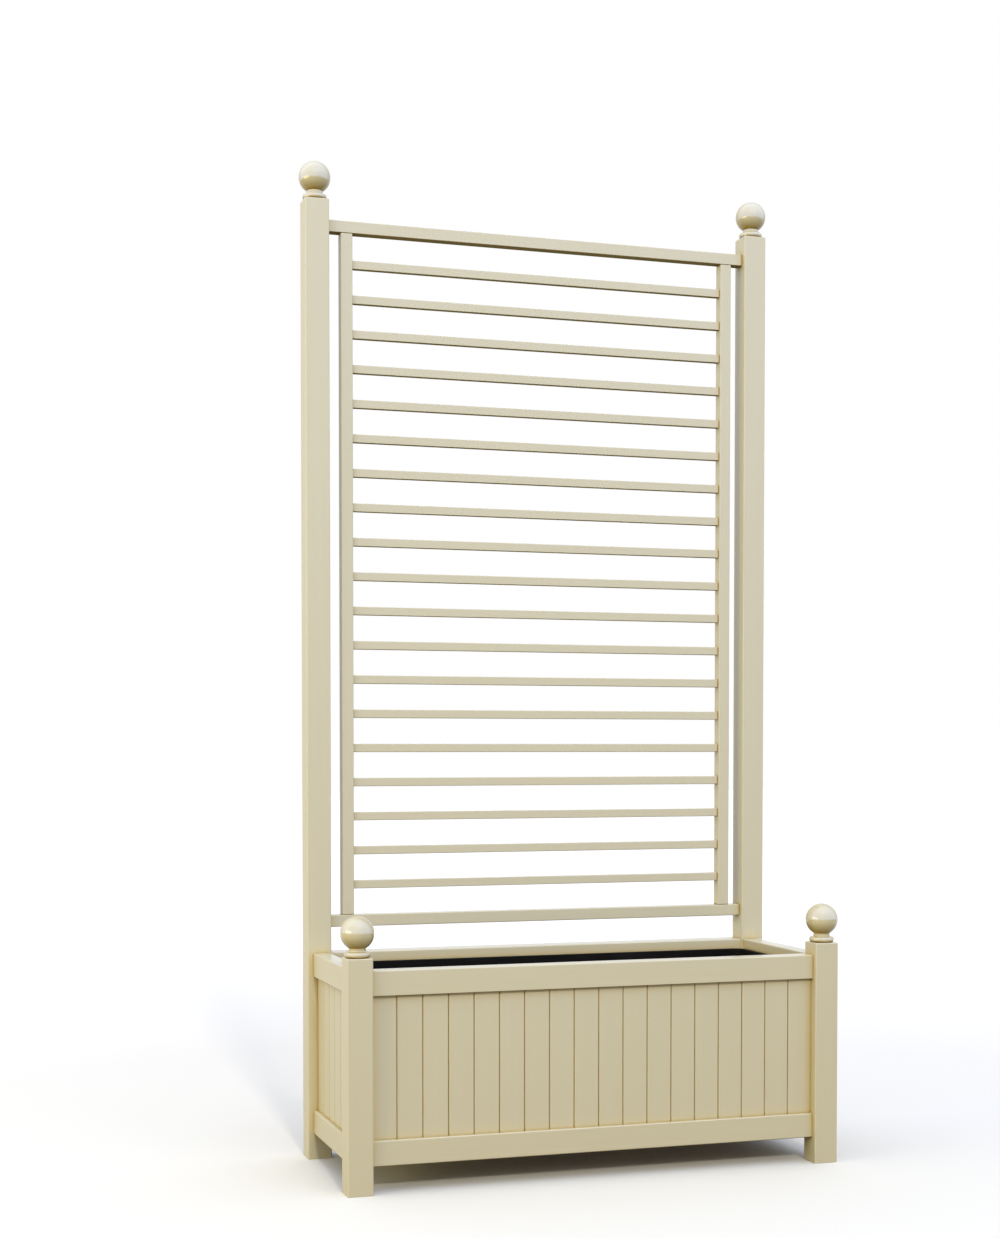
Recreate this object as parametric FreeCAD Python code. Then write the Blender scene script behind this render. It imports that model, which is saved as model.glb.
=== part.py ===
import FreeCAD, Part
import math
import os
from FreeCAD import Vector

# Painted timber planter box on four square posts, with a slatted trellis between the two tall rear
# posts and a trough liner that lifts out. Millimetres, +Z up, front towards -Y. The origin is on
# the ground under the middle of the box.

# Overall frame
WIDTH = 1000.0
DEPTH = 395.0
FRONT_POST_HEIGHT = 440.0
REAR_POST_HEIGHT = 1916.0
POST_SECTION = 49.0
POST_ARRIS = 2.5
POST_HEAD_EASE = 2.0

# Box rails, with their faces set back from the outer faces of the posts
LEG_HEIGHT = 51.0
RAIL_HEIGHT = 48.0
RAIL_THICKNESS = 34.0
RAIL_RECESS = 12.0
RAIL_ARRIS = 2.0
RAIL_BELOW_POST_TOP = 24.5

# Tenons of the box rails, mitred where two of them meet inside a post
TENON_THICKNESS = 10.0
TENON_OUTER_SHOULDER = 8.0
TENON_BOARD_SHOULDER = 13.0
TENON_END_GAP = 1.0

# Tongue-and-groove boards, standing in grooves of the rails and posts
BOARD_WIDTH = 50.0
BOARD_THICKNESS = 16.0
BOARD_RECESS = 9.0
BOARD_VEE = 1.8
BOARD_IN_RAIL = 10.0
BOARD_IN_POST = 6.0
TONGUE_LENGTH = 5.0
TONGUE_THICKNESS = 5.0
TONGUE_END_GAP = 0.5

# Floor that carries the liner
BEARER_LIFT = 6.0
BEARER_HEIGHT = 28.0
BEARER_THICKNESS = 20.0
FLOOR_SLAT_WIDTH = 70.0
FLOOR_SLAT_THICKNESS = 12.0
FLOOR_SLAT_GAP = 12.0
FLOOR_END_GAP = 2.0

# Trough liner
LINER_CLEARANCE = 2.0
LINER_BELOW_RAIL = 19.5
LINER_WALL = 3.0
LINER_RIM_WIDTH = 7.0
LINER_RIM_HEIGHT = 3.0
LINER_CORNER_RADIUS = 30.0
LINER_CORNER_STEP = 3.0
LINER_TAPER = 10.0
LINER_FOOT_BEVEL = 12.0
DRAIN_RADIUS = 6.0
DRAIN_SPACING = 270.0
DRAIN_COUNT = 3

# Trellis between the rear posts
TRELLIS_SECTION = 24.0
TRELLIS_ARRIS = 1.5
TRELLIS_BELOW_POST_TOP = 38.0
TRELLIS_ABOVE_BOX = 50.5
STILE_OFF_POST = 26.0
SLAT_COUNT = 19
SLAT_HEIGHT = 17.0
SLAT_DEPTH = 13.0
SLAT_ARRIS = 1.2
TRELLIS_TENON_LENGTH = 22.0
TRELLIS_TENON_WIDTH = 14.0
TRELLIS_TENON_THICKNESS = 9.0
STILE_TENON_LENGTH = 12.0
SLAT_TENON_LENGTH = 9.0
SLAT_TENON_HEIGHT = 10.0
SLAT_TENON_THICKNESS = 6.0

# Ball finial, turned about its own axis with the spigot that enters the post
BALL_RADIUS = 31.8
BALL_CENTRE_HEIGHT = 45.0
NECK_RADIUS = 16.2
COVE_WIDTH = 2.8
COLLAR_RADIUS = 24.4
COLLAR_HEIGHT = 11.0
COLLAR_EASE = 3.0
SPIGOT_RADIUS = 9.0
SPIGOT_LENGTH = 30.0
SPIGOT_CLEARANCE = 0.2
SPIGOT_END_GAP = 2.0

# Angles and shares
QUARTER_TURN = 90.0
FULL_TURN = 360.0
HALF_SHARE = 0.5

# Places worked out from the sizes
FRONT_SPAN = WIDTH - 2 * POST_SECTION
SIDE_SPAN = DEPTH - 2 * POST_SECTION
FRONT_REACH = DEPTH / 2
SIDE_REACH = WIDTH / 2
BOTTOM_RAIL_Z = LEG_HEIGHT
TOP_RAIL_Z = FRONT_POST_HEIGHT - RAIL_BELOW_POST_TOP - RAIL_HEIGHT
BOX_TOP_Z = TOP_RAIL_Z + RAIL_HEIGHT
RAIL_INNER = RAIL_RECESS + RAIL_THICKNESS
TENON_OUTER = RAIL_RECESS + (RAIL_THICKNESS - TENON_THICKNESS) / 2
TENON_HEIGHT = RAIL_HEIGHT - TENON_OUTER_SHOULDER - TENON_BOARD_SHOULDER
BOARD_OUTER = RAIL_RECESS + BOARD_RECESS
BOARD_Z = BOTTOM_RAIL_Z + RAIL_HEIGHT - BOARD_IN_RAIL
BOARD_TOP_Z = TOP_RAIL_Z + BOARD_IN_RAIL
BEARER_Z = LEG_HEIGHT + BEARER_LIFT
BEARER_LENGTH = FRONT_SPAN - 2 * FLOOR_END_GAP
FLOOR_Z = BEARER_Z + BEARER_HEIGHT
LINER_Z = FLOOR_Z + FLOOR_SLAT_THICKNESS
LINER_TOP_Z = BOX_TOP_Z - LINER_BELOW_RAIL
POST_X = (WIDTH - POST_SECTION) / 2
POST_Y = (DEPTH - POST_SECTION) / 2
TRELLIS_BOTTOM_Z = BOX_TOP_Z + TRELLIS_ABOVE_BOX
TRELLIS_TOP_Z = REAR_POST_HEIGHT - TRELLIS_BELOW_POST_TOP - TRELLIS_SECTION
STILE_FOOT_Z = TRELLIS_BOTTOM_Z + TRELLIS_SECTION
STILE_HEIGHT = TRELLIS_TOP_Z - STILE_FOOT_Z
STILE_X = FRONT_SPAN / 2 - STILE_OFF_POST - TRELLIS_SECTION / 2
SLAT_LENGTH = 2 * STILE_X - TRELLIS_SECTION
SLAT_GAP = (STILE_HEIGHT - SLAT_COUNT * SLAT_HEIGHT) / (SLAT_COUNT + 1)


# Helpers

def block(low, high):
    """Plain box between two corners."""
    size = high.sub(low)
    return Part.makeBox(size.x, size.y, size.z, low)


def rounded_outline(size_u, size_v, radius, place):
    """Closed wire of a centred rectangle with round corners; place(u, v) gives its points."""
    corners = [(1, -1), (1, 1), (-1, 1), (-1, -1)]
    arcs = []
    for number, (side_u, side_v) in enumerate(corners):
        centre_u = side_u * (size_u / 2 - radius)
        centre_v = side_v * (size_v / 2 - radius)
        points = []
        for step in (0, HALF_SHARE, 1):
            angle = math.radians(QUARTER_TURN * (number - 1 + step))
            u = centre_u + radius * math.cos(angle)
            v = centre_v + radius * math.sin(angle)
            points.append(place(u, v))
        arcs.append(points)
    edges = []
    for number, points in enumerate(arcs):
        edges.append(Part.Arc(*points).toShape())
        following = arcs[(number + 1) % len(arcs)]
        edges.append(Part.makeLine(points[-1], following[0]))
    return Part.Wire(edges)


def level_outline(width, depth, radius, z):
    """Rounded rectangle lying level at a height."""
    return rounded_outline(width, depth, radius, lambda u, v: Vector(u, v, z))


def eased_outline(size_u, size_v, ease, place):
    """Closed wire of a centred rectangle with its corners planed off; place(u, v) gives its points."""
    half_u = size_u / 2
    half_v = size_v / 2
    quarter = [(half_u - ease, -half_v), (half_u, ease - half_v)]
    points = [place(u, v) for u, v in quarter]
    points += [place(u, -v) for u, v in reversed(quarter)]
    points += [place(-u, -v) for u, v in quarter]
    points += [place(-u, v) for u, v in reversed(quarter)]
    return Part.makePolygon(points + points[:1])


def bar_along_x(length, depth, height, ease, centre):
    """Bar with four eased long edges, running along X about its centre."""
    start = centre.x - length / 2
    outline = eased_outline(depth, height, ease, lambda u, v: Vector(start, centre.y + u, centre.z + v))
    return Part.Face(outline).extrude(Vector(length, 0, 0))


def bar_along_z(length, width, depth, ease, foot):
    """Bar with four eased long edges, standing on the point at the middle of its foot."""
    outline = eased_outline(width, depth, ease, lambda u, v: Vector(foot.x + u, foot.y + v, foot.z))
    return Part.Face(outline).extrude(Vector(0, 0, length))


def tenon_about(centre, size):
    """Rectangular tenon or mortise, centred on a point."""
    half = Vector(size.x / 2, size.y / 2, size.z / 2)
    return block(centre.sub(half), centre.add(half))


def turned(shape, angle):
    """Copy of a shape, turned about the upright axis through the origin."""
    copy = shape.copy()
    copy.rotate(Vector(0, 0, 0), Vector(0, 0, 1), angle)
    return copy


def moved(shape, step):
    """Copy of a shape, moved by a step."""
    copy = shape.copy()
    copy.translate(step)
    return copy


# Sides of the box. Each is drawn facing -Y, between two posts whose outer faces lie at -reach,
# and is then turned to its place.

SIDES = {
    "front": (FRONT_SPAN, FRONT_REACH, 0.0, False),
    "right": (SIDE_SPAN, SIDE_REACH, QUARTER_TURN, False),
    "rear": (FRONT_SPAN, FRONT_REACH, 2 * QUARTER_TURN, True),
    "left": (SIDE_SPAN, SIDE_REACH, -QUARTER_TURN, False),
}


def mitred_tenon(span, reach, low, end_gap):
    """Tenon at the right end of a rail, cut off on the mitre line of the post it enters."""
    outer = TENON_OUTER
    inner = TENON_OUTER + TENON_THICKNESS
    root = span / 2
    outline = [
        Vector(root, outer - reach, low),
        Vector(root + POST_SECTION - outer - end_gap, outer - reach, low),
        Vector(root + POST_SECTION - inner - end_gap, inner - reach, low),
        Vector(root, inner - reach, low),
    ]
    face = Part.Face(Part.makePolygon(outline + outline[:1]))
    return face.extrude(Vector(0, 0, TENON_HEIGHT))


def tenon_pair(span, reach, low, end_gap):
    """Tenons at both ends of a rail."""
    right = mitred_tenon(span, reach, low, end_gap)
    left = right.mirror(Vector(0, 0, 0), Vector(1, 0, 0))
    return [right, left]


def tenon_lows():
    """Undersides of the tenons of the bottom and the top rail."""
    return (BOTTOM_RAIL_Z + TENON_OUTER_SHOULDER, TOP_RAIL_Z + TENON_BOARD_SHOULDER)


def board_groove(span, reach, low, high, end):
    """Space that the boards fill, carried past the rails' ends by end."""
    near = BOARD_OUTER - reach
    return block(Vector(-span / 2 - end, near, low), Vector(span / 2 + end, near + BOARD_THICKNESS, high))


def box_rail(span, reach, low, tenon_low, flush):
    """Rail with its two tenons and the groove that takes the boards."""
    recess = 0.0 if flush else RAIL_RECESS
    thickness = RAIL_INNER - recess
    centre = Vector(0, recess + thickness / 2 - reach, low + RAIL_HEIGHT / 2)
    rail = bar_along_x(span, thickness, RAIL_HEIGHT, RAIL_ARRIS, centre)
    rail = rail.fuse(tenon_pair(span, reach, tenon_low, TENON_END_GAP))
    return rail.cut(board_groove(span, reach, BOARD_Z, BOARD_TOP_Z, POST_SECTION))


def board_section(start, end, reach, is_first, is_last):
    """Outline of one board in plan, with a groove at its left edge and a tongue at its right."""
    face = BOARD_OUTER - reach
    back = face + BOARD_THICKNESS
    tongue_near = (face + back - TONGUE_THICKNESS) / 2
    tongue_far = tongue_near + TONGUE_THICKNESS
    groove_end = start + TONGUE_LENGTH + TONGUE_END_GAP
    if is_first:
        left = [(start, back), (start, face)]
    else:
        left = [(start, back), (start, tongue_far), (groove_end, tongue_far), (groove_end, tongue_near),
                (start, tongue_near), (start, face + BOARD_VEE), (start + BOARD_VEE, face)]
    if is_last:
        right = [(end, face), (end, back)]
    else:
        right = [(end - BOARD_VEE, face), (end, face + BOARD_VEE), (end, tongue_near),
                 (end + TONGUE_LENGTH, tongue_near), (end + TONGUE_LENGTH, tongue_far),
                 (end, tongue_far), (end, back)]
    return left + right


def board_row(span, reach):
    """Boards of one side, each a solid of its own, the outer two let into the posts."""
    count = max(1, round(span / BOARD_WIDTH))
    pitch = span / count
    boards = []
    for number in range(count):
        is_first = number == 0
        is_last = number == count - 1
        start = -span / 2 + number * pitch - (BOARD_IN_POST if is_first else 0)
        end = -span / 2 + (number + 1) * pitch + (BOARD_IN_POST if is_last else 0)
        outline = [Vector(x, y, BOARD_Z) for x, y in board_section(start, end, reach, is_first, is_last)]
        face = Part.Face(Part.makePolygon(outline + outline[:1]))
        boards.append(face.extrude(Vector(0, 0, BOARD_TOP_Z - BOARD_Z)))
    return boards


def side_mortises(span, reach):
    """Mortises and board grooves that one side needs in the posts at its ends."""
    cuts = [board_groove(span, reach, BOARD_Z, BOARD_TOP_Z, BOARD_IN_POST)]
    for low in tenon_lows():
        cuts += tenon_pair(span, reach, low, 0)
    return cuts


def box_side(name):
    """The two rails and the row of boards of one side, in place."""
    span, reach, angle, flush = SIDES[name]
    bottom_low, top_low = tenon_lows()
    bottom = box_rail(span, reach, BOTTOM_RAIL_Z, bottom_low, flush)
    top = box_rail(span, reach, TOP_RAIL_Z, top_low, flush)
    boards = Part.makeCompound(board_row(span, reach))
    return turned(bottom, angle), turned(top, angle), turned(boards, angle)


# Posts

def post(side_x, side_y, height):
    """Square post with rounded long edges and the edges of its head planed off."""
    outline = level_outline(POST_SECTION, POST_SECTION, POST_ARRIS, 0)
    blank = Part.Face(outline).extrude(Vector(0, 0, height))
    head_edges = [edge for edge in blank.Edges if edge.BoundBox.ZMin > height - POST_HEAD_EASE]
    return moved(blank.makeChamfer(POST_HEAD_EASE, head_edges), Vector(side_x * POST_X, side_y * POST_Y, 0))


def box_mortises():
    """All the cuts that the four sides of the box need in the posts."""
    cuts = []
    for span, reach, angle, _ in SIDES.values():
        cuts += [turned(cut, angle) for cut in side_mortises(span, reach)]
    return Part.makeCompound(cuts)


# Finials

def finial():
    """Turned ball finial, its collar on z = 0 and its spigot below."""
    neck_head = BALL_CENTRE_HEIGHT - math.sqrt(BALL_RADIUS ** 2 - NECK_RADIUS ** 2)
    outline = [
        (0, -SPIGOT_LENGTH),
        (SPIGOT_RADIUS, -SPIGOT_LENGTH),
        (SPIGOT_RADIUS, 0),
        (COLLAR_RADIUS - COLLAR_EASE, 0),
        (COLLAR_RADIUS, COLLAR_EASE),
        (COLLAR_RADIUS, COLLAR_HEIGHT - COLLAR_EASE),
        (NECK_RADIUS + COVE_WIDTH, COLLAR_HEIGHT),
        (NECK_RADIUS, COLLAR_HEIGHT + COVE_WIDTH),
        (NECK_RADIUS, neck_head),
    ]
    points = [Vector(radius, 0, height) for radius, height in outline]
    equator = Vector(BALL_RADIUS, 0, BALL_CENTRE_HEIGHT)
    crown = Vector(0, 0, BALL_CENTRE_HEIGHT + BALL_RADIUS)
    edges = [Part.makeLine(start, end) for start, end in zip(points, points[1:])]
    edges.append(Part.Arc(points[-1], equator, crown).toShape())
    edges.append(Part.makeLine(crown, points[0]))
    return Part.Face(Part.Wire(edges)).revolve(Vector(0, 0, 0), Vector(0, 0, 1), FULL_TURN)


def spigot_hole(top):
    """Blind hole in the top of a post for the spigot of its finial."""
    return Part.makeCylinder(SPIGOT_RADIUS + SPIGOT_CLEARANCE, SPIGOT_LENGTH + SPIGOT_END_GAP,
                             top, Vector(0, 0, -1))


# Floor

def bearer():
    """Batten along the inner face of the front bottom rail."""
    near = RAIL_INNER - FRONT_REACH
    return block(Vector(-BEARER_LENGTH / 2, near, BEARER_Z),
                 Vector(BEARER_LENGTH / 2, near + BEARER_THICKNESS, FLOOR_Z))


def floor_slats():
    """Cross slats on the bearers, evenly spaced between the posts."""
    count = max(2, int((BEARER_LENGTH + FLOOR_SLAT_GAP) / (FLOOR_SLAT_WIDTH + FLOOR_SLAT_GAP)))
    pitch = (BEARER_LENGTH - FLOOR_SLAT_WIDTH) / (count - 1)
    end = DEPTH / 2 - RAIL_INNER - FLOOR_END_GAP
    slats = []
    for number in range(count):
        start = -BEARER_LENGTH / 2 + number * pitch
        slats.append(block(Vector(start, -end, FLOOR_Z),
                           Vector(start + FLOOR_SLAT_WIDTH, end, FLOOR_Z + FLOOR_SLAT_THICKNESS)))
    return Part.makeCompound(slats)


# Liner

def liner_outline(inset, corner_steps, z):
    """Level outline of the liner, set in from the rim's edge, with its corners tightened in steps."""
    width = WIDTH - 2 * (RAIL_INNER + LINER_CLEARANCE + inset)
    depth = DEPTH - 2 * (RAIL_INNER + LINER_CLEARANCE + inset)
    return level_outline(width, depth, LINER_CORNER_RADIUS - corner_steps * LINER_CORNER_STEP, z)


def tapered_tub(inset, corner_steps, low):
    """Solid of a tub that narrows downwards to a bevelled foot, with its head at the liner's top."""
    foot = liner_outline(inset + LINER_TAPER + LINER_FOOT_BEVEL, corner_steps + 2, low)
    waist = liner_outline(inset + LINER_TAPER, corner_steps + 1, low + LINER_FOOT_BEVEL)
    head = liner_outline(inset, corner_steps, LINER_TOP_Z)
    return Part.makeLoft([foot, waist, head], True, True)


def drain_holes():
    """Holes through the floor of the liner, in a row along its middle."""
    holes = []
    for number in range(DRAIN_COUNT):
        x = (number - (DRAIN_COUNT - 1) / 2) * DRAIN_SPACING
        holes.append(Part.makeCylinder(DRAIN_RADIUS, 2 * LINER_WALL, Vector(x, 0, LINER_Z - LINER_WALL / 2)))
    return holes


def liner():
    """Trough with tapered walls, rounded corners, a turned-out rim and drain holes."""
    outside = tapered_tub(LINER_RIM_WIDTH, 1, LINER_Z)
    inside = tapered_tub(LINER_RIM_WIDTH + LINER_WALL, 2, LINER_Z + LINER_WALL)
    rim = Part.Face(liner_outline(0, 0, LINER_TOP_Z - LINER_RIM_HEIGHT)).extrude(Vector(0, 0, LINER_RIM_HEIGHT))
    return outside.fuse(rim).cut(inside).cut(drain_holes())


# Trellis

def trellis_rail(low):
    """Rail between the rear posts, with a tenon at each end."""
    centre = Vector(0, POST_Y, low + TRELLIS_SECTION / 2)
    rail = bar_along_x(FRONT_SPAN, TRELLIS_SECTION, TRELLIS_SECTION, TRELLIS_ARRIS, centre)
    return rail.fuse(trellis_rail_tenons(low))


def trellis_rail_tenons(low):
    """Tenons of a trellis rail, which are also the mortises in the rear posts."""
    size = Vector(TRELLIS_TENON_LENGTH, TRELLIS_TENON_THICKNESS, TRELLIS_TENON_WIDTH)
    tenons = []
    for side in (-1, 1):
        x = side * (FRONT_SPAN + TRELLIS_TENON_LENGTH) / 2
        tenons.append(tenon_about(Vector(x, POST_Y, low + TRELLIS_SECTION / 2), size))
    return tenons


def stile_tenons(x):
    """Tenons at the foot and the head of a stile, which are also the mortises in the rails."""
    size = Vector(TRELLIS_TENON_WIDTH, TRELLIS_TENON_THICKNESS, STILE_TENON_LENGTH)
    foot = Vector(x, POST_Y, STILE_FOOT_Z - STILE_TENON_LENGTH / 2)
    head = Vector(x, POST_Y, TRELLIS_TOP_Z + STILE_TENON_LENGTH / 2)
    return [tenon_about(foot, size), tenon_about(head, size)]


def slat_height(number):
    """Height of the middle of a slat, counted from the bottom."""
    return STILE_FOOT_Z + (number + 1) * SLAT_GAP + (number + HALF_SHARE) * SLAT_HEIGHT


def slat_tenons(number):
    """Tenons at the ends of a slat, which are also the mortises in the stiles."""
    size = Vector(SLAT_TENON_LENGTH, SLAT_TENON_THICKNESS, SLAT_TENON_HEIGHT)
    x = (SLAT_LENGTH + SLAT_TENON_LENGTH) / 2
    z = slat_height(number)
    return [tenon_about(Vector(-x, POST_Y, z), size), tenon_about(Vector(x, POST_Y, z), size)]


def slat(number):
    """Slat with a tenon at each end."""
    centre = Vector(0, POST_Y, slat_height(number))
    blank = bar_along_x(SLAT_LENGTH, SLAT_DEPTH, SLAT_HEIGHT, SLAT_ARRIS, centre)
    return blank.fuse(slat_tenons(number))


def stile(x):
    """Stile with its own tenons and a mortise for each slat."""
    foot = Vector(x, POST_Y, STILE_FOOT_Z)
    blank = bar_along_z(STILE_HEIGHT, TRELLIS_SECTION, TRELLIS_SECTION, TRELLIS_ARRIS, foot)
    mortises = []
    for number in range(SLAT_COUNT):
        mortises += slat_tenons(number)
    return blank.fuse(stile_tenons(x)).cut(mortises)


# Assembly

def build():
    """All the pieces by node name."""
    nodes = {}
    mortises = box_mortises()
    trellis_mortises = trellis_rail_tenons(TRELLIS_BOTTOM_Z) + trellis_rail_tenons(TRELLIS_TOP_Z)
    finials = []
    corners = {
        "front_left_post": (-1, -1, FRONT_POST_HEIGHT),
        "front_right_post": (1, -1, FRONT_POST_HEIGHT),
        "rear_left_post": (-1, 1, REAR_POST_HEIGHT),
        "rear_right_post": (1, 1, REAR_POST_HEIGHT),
    }
    for name, (side_x, side_y, height) in corners.items():
        top = Vector(side_x * POST_X, side_y * POST_Y, height)
        cuts = [mortises, spigot_hole(top)]
        if side_y > 0:
            cuts += trellis_mortises
        nodes[name] = post(side_x, side_y, height).cut(cuts)
        finials.append(moved(finial(), top))
    nodes["ball_finials"] = Part.makeCompound(finials)

    for name in SIDES:
        bottom, top, boards = box_side(name)
        nodes[name + "_bottom_rail"] = bottom
        nodes[name + "_top_rail"] = top
        nodes[name + "_boards"] = boards
    nodes["front_bearer"] = bearer()
    nodes["rear_bearer"] = turned(bearer(), 2 * QUARTER_TURN)
    nodes["floor_slats"] = floor_slats()
    nodes["liner"] = liner()

    left_stile = stile(-STILE_X)
    right_stile = stile(STILE_X)
    stile_mortises = stile_tenons(-STILE_X) + stile_tenons(STILE_X)
    nodes["trellis_bottom_rail"] = trellis_rail(TRELLIS_BOTTOM_Z).cut(stile_mortises)
    nodes["trellis_top_rail"] = trellis_rail(TRELLIS_TOP_Z).cut(stile_mortises)
    nodes["trellis_left_stile"] = left_stile
    nodes["trellis_right_stile"] = right_stile
    for number in range(SLAT_COUNT):
        nodes["trellis_slat_%02d" % (number + 1)] = slat(number)
    return nodes


def main():
    """Writes one STEP file per node."""
    os.makedirs("parts", exist_ok=True)
    for name, shape in build().items():
        if not shape.isValid():
            raise RuntimeError("invalid shape: " + name)
        shape.exportStep("parts/" + name + ".step")
        print(name, len(shape.Solids), round(shape.Volume))


main()
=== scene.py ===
import logging
import math
from collections.abc import Callable, Iterator
from contextlib import contextmanager
from dataclasses import dataclass
from enum import Enum

import bmesh
import bpy
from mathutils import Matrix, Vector


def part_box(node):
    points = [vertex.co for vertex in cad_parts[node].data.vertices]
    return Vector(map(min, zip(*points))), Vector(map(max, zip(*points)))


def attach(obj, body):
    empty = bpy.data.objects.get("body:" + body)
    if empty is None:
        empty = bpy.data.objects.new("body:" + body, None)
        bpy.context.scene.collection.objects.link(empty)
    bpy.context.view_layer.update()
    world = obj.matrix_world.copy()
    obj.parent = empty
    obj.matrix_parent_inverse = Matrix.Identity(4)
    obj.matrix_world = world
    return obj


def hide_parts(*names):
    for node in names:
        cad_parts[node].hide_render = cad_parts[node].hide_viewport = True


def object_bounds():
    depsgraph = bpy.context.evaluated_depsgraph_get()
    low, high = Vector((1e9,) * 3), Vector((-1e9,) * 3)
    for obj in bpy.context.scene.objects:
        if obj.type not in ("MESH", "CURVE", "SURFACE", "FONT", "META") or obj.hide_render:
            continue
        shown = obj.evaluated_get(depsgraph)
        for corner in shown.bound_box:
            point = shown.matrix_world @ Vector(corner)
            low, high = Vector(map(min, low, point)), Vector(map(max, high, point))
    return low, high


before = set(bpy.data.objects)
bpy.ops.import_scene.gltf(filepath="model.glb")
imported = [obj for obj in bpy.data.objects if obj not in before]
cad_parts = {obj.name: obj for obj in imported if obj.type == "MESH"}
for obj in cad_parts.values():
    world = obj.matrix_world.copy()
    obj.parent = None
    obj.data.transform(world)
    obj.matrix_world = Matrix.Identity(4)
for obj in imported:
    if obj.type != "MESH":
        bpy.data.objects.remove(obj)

# Painted timber planter box with a slatted trellis between its rear posts. Metres, +Z up, front
# towards -Y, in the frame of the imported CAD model.

LOG = logging.getLogger("planter")
CAD_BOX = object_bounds()

PLANTER_BODY = "planter"
LINER_BODY = "liner_body"
PAINT_SLOT = "painted_timber"
FLOOR_SLOT = "floor_timber"
LINER_SLOT = "liner_plastic"

# Places nearer than NEAR are one, an outline with a bend under STRAIGHT_ANGLE runs straight on, an
# edge over SHARP_ANGLE is eased, and a face is level where its normal has more than LEVEL in Z
NEAR = 0.00005
STRAIGHT_ANGLE = math.radians(1)
SHARP_ANGLE = math.radians(34)
LEVEL = 0.5
QUARTER = math.pi / 2

Colour = tuple[float, float, float]
Pair = tuple[float, float]
Point = tuple[float, float, float]
Material = bpy.types.Material
Piece = bpy.types.Object
Socket = bpy.types.NodeSocket


class Element(Enum):
    """Kind of mesh element that is picked in edit mode."""

    VERTEX = "VERT"
    EDGE = "EDGE"
    FACE = "FACE"


class Rounding(Enum):
    """What a rounding takes off: a piece's edges, or the corners of a sheet's outline."""

    EDGES = "EDGES"
    CORNERS = "VERTICES"


class Laying(Enum):
    """How one colour is laid over another."""

    COVER = "MIX"
    TINT = "MULTIPLY"
    LIGHTER = "LIGHTEN"


class Sum(Enum):
    """What is worked out from two values."""

    PRODUCT = "MULTIPLY"
    LARGER = "MAXIMUM"


class Grain(Enum):
    """Way that grain and brush strokes run: True along an axis, False across it."""

    ALONG_X = (True, False, False)
    ALONG_Y = (False, True, False)
    ALONG_Z = (False, False, True)
    TURNED = (True, True, False)

    def stretch(self, along: float, across: float) -> Point:
        """Scale of a pattern on X, Y and Z, from its scales along and across the grain."""
        return tuple(along if runs else across for runs in self.value)


# Workbench: the moves that every piece is made with

def take_up(piece: Piece) -> None:
    """Makes a piece the only one selected, and the active one.

    Args:
        piece: the piece.
    """
    bpy.ops.object.select_all(action="DESELECT")
    piece.select_set(True)
    bpy.context.view_layer.objects.active = piece


def settle(name: str, scale: Point = (1.0, 1.0, 1.0)) -> Piece:
    """Names the primitive just added and puts its place and size into its mesh.

    Args:
        name: name of the piece.
        scale: stretch of the primitive along its own axes.

    Returns:
        The piece, at the origin, unturned and unscaled.
    """
    piece = bpy.context.active_object
    take_up(piece)
    piece.name = name
    piece.data.name = name
    piece.scale = scale
    bpy.ops.object.transform_apply(location=True, rotation=True, scale=True)
    return piece


def add_block(name: str, low: Point, high: Point) -> Piece:
    """Adds a box between two corners.

    Args:
        name: name of the piece.
        low: lowest corner.
        high: highest corner.

    Returns:
        The box.
    """
    middle = [(a + b) / 2 for a, b in zip(low, high)]
    bpy.ops.mesh.primitive_cube_add(size=1.0, location=middle)
    return settle(name, tuple(b - a for a, b in zip(low, high)))


def add_plan_sheet(name: str, low: Point, high: Point) -> Piece:
    """Adds a level sheet at the lower corner's height, reaching over both corners in plan.

    Args:
        name: name of the piece.
        low: lowest corner.
        high: highest corner.

    Returns:
        The sheet.
    """
    middle = ((low[0] + high[0]) / 2, (low[1] + high[1]) / 2, low[2])
    bpy.ops.mesh.primitive_plane_add(size=1.0, location=middle)
    return settle(name, (high[0] - low[0], high[1] - low[1], 1.0))


def add_end_sheet(name: str, low: Point, high: Point) -> Piece:
    """Adds an upright sheet square to X at the lower corner, reaching over both corners.

    Args:
        name: name of the piece.
        low: lowest corner.
        high: highest corner.

    Returns:
        The sheet.
    """
    middle = (low[0], (low[1] + high[1]) / 2, (low[2] + high[2]) / 2)
    bpy.ops.mesh.primitive_plane_add(size=1.0, location=middle, rotation=(0.0, QUARTER, 0.0))
    return settle(name, (high[2] - low[2], high[1] - low[1], 1.0))


@contextmanager
def editing(piece: Piece) -> Iterator[None]:
    """Edit mode on one piece, left again at the end.

    Args:
        piece: the piece.

    Returns:
        The context in which the piece is edited.
    """
    take_up(piece)
    bpy.ops.object.mode_set(mode="EDIT")
    yield
    bpy.ops.object.mode_set(mode="OBJECT")


def pick(piece: Piece, element: Element, wanted: Callable[..., bool]) -> None:
    """Selects some of the elements of a piece that is in edit mode.

    Args:
        piece: the piece.
        element: kind of element to select.
        wanted: says of an element whether it is selected.
    """
    bpy.ops.mesh.select_mode(type=element.value)
    bpy.ops.mesh.select_all(action="DESELECT")
    mesh = bmesh.from_edit_mesh(piece.data)
    elements = {Element.VERTEX: mesh.verts, Element.EDGE: mesh.edges, Element.FACE: mesh.faces}
    for item in filter(wanted, elements[element]):
        item.select_set(True)
    mesh.select_flush_mode()
    bmesh.update_edit_mesh(piece.data)


def slice_at(point: Point, normal: Point) -> None:
    """Cuts new edges across the piece in edit mode, where a plane meets it."""
    bpy.ops.mesh.select_all(action="SELECT")
    bpy.ops.mesh.bisect(plane_co=point, plane_no=normal)


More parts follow.
